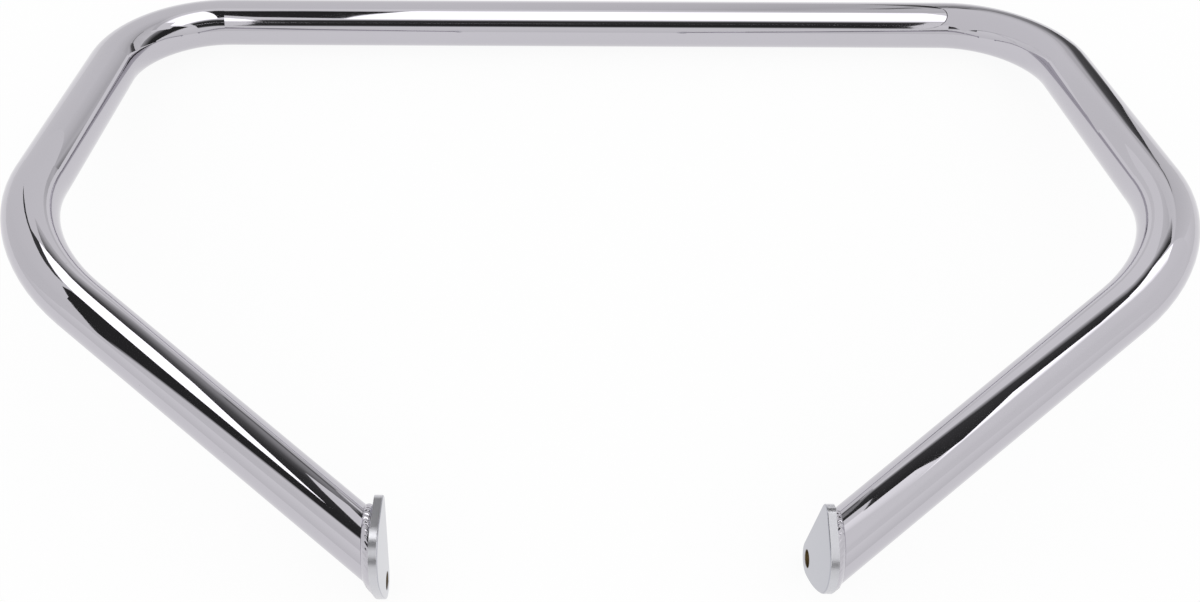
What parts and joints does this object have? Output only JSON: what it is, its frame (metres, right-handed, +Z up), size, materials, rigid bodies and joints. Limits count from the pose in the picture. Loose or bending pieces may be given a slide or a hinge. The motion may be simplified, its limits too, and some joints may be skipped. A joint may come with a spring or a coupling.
{
  "type": "motorcycle crash bar",
  "caption": "Chrome tubular engine guard for a motorcycle: a bent hoop whose legs end in flat mounting tabs, to be bolted to the frame.",
  "frame": {"origin": "centre of the underside of the box round the guard as it lies down", "axes": "+X along the top bar, +Y from the tabs towards the top bar, +Z up from the surface that it lies on"},
  "size_m": [0.6916, 0.4418, 0.1018],
  "materials": {
    "tube_chrome": "polished chrome plate",
    "tab_chrome": "polished chrome plate",
    "weld_chrome": "chrome plate over a dressed weld"
  },
  "bodies": {
    "root": {"guard_tube": "tube_chrome", "left_mount_tab": "tab_chrome", "right_mount_tab": "tab_chrome", "left_weld_bead": "weld_chrome", "right_weld_bead": "weld_chrome"}
  },
  "joints": []
}
